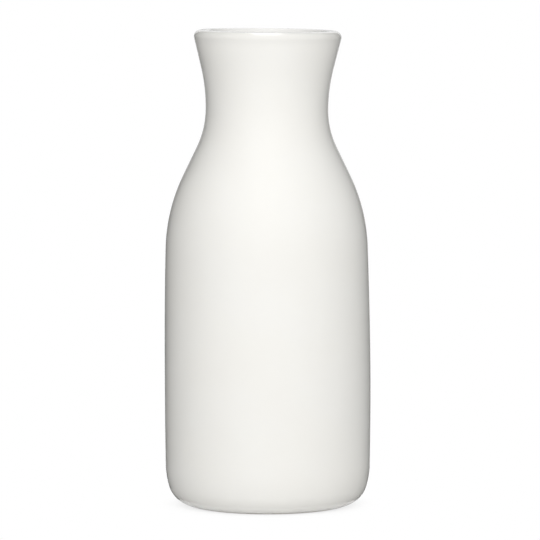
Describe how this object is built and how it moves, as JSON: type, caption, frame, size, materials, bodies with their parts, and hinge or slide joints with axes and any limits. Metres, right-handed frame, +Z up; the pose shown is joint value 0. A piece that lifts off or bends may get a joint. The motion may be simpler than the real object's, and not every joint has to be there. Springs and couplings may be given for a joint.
{
  "type": "pitcher",
  "caption": "Bottle-shaped white glazed ceramic pitcher, with a sloping shoulder, a waisted neck, a flared round-lipped mouth and no handle.",
  "frame": {"origin": "centre of the foot ring's underside, where the pitcher stands", "axes": "+Z up along the pitcher's axis; -Y faces the viewer; the shape is the same all round"},
  "size_m": [0.102, 0.102, 0.235],
  "materials": {
    "glaze": "glossy white glaze, slightly warm"
  },
  "bodies": {
    "root": {"pitcher": "glaze"}
  },
  "joints": []
}
